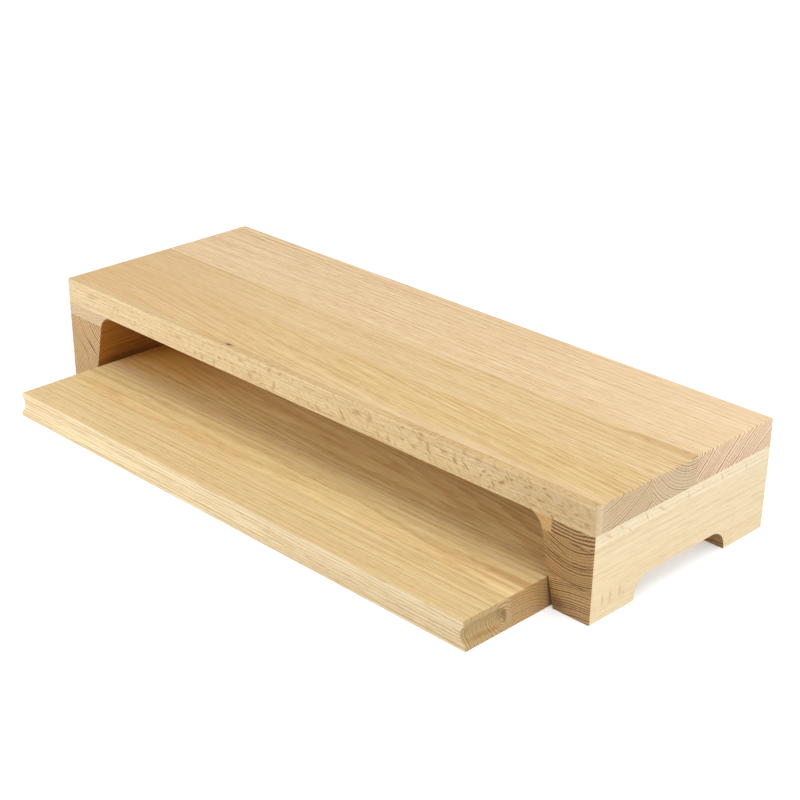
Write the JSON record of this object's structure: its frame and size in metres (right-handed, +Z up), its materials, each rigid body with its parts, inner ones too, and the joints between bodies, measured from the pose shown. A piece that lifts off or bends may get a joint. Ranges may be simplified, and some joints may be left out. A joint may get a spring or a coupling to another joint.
{
  "type": "display riser",
  "caption": "Solid-oak counter riser: a broad deck on two tapered, arched slab legs, over a loose lower board that slides out on the counter.",
  "frame": {"origin": "bottom centre of the whole set as it stands at rest, with the lower board drawn out to the front; the counter is z = 0", "axes": "+X along the deck's length to the right as the user faces it, -Y towards the user, +Z up"},
  "size_m": [0.78, 0.3746, 0.119],
  "materials": {
    "deck_oak": "edge-glued solid oak, fine-sanded and oiled, satin",
    "leg_oak": "edge-glued solid oak, fine-sanded and oiled, satin",
    "tray_oak": "edge-glued solid oak, fine-sanded and oiled, satin",
    "dowel_beech": "turned beech, glued"
  },
  "bodies": {
    "riser": {"deck_front_strip": "deck_oak", "deck_second_stave": "deck_oak", "deck_third_stave": "deck_oak", "deck_back_stave": "deck_oak", "right_foot_stave": "leg_oak", "right_middle_stave": "leg_oak", "right_cap_stave": "leg_oak", "right_cove_strip": "leg_oak", "left_foot_stave": "leg_oak", "left_middle_stave": "leg_oak", "left_cap_stave": "leg_oak", "left_cove_strip": "leg_oak", "right_dowels": "dowel_beech", "left_dowels": "dowel_beech"},
    "tray": {"tray_front_stave": "tray_oak", "tray_second_stave": "tray_oak", "tray_third_stave": "tray_oak", "tray_back_stave": "tray_oak"}
  },
  "joints": [
    {"name": "tray_slide", "type": "slide", "parent": "riser", "child": "tray", "axis": [0, -1, 0], "range_m": [-0.1095, 0.125]}
  ]
}
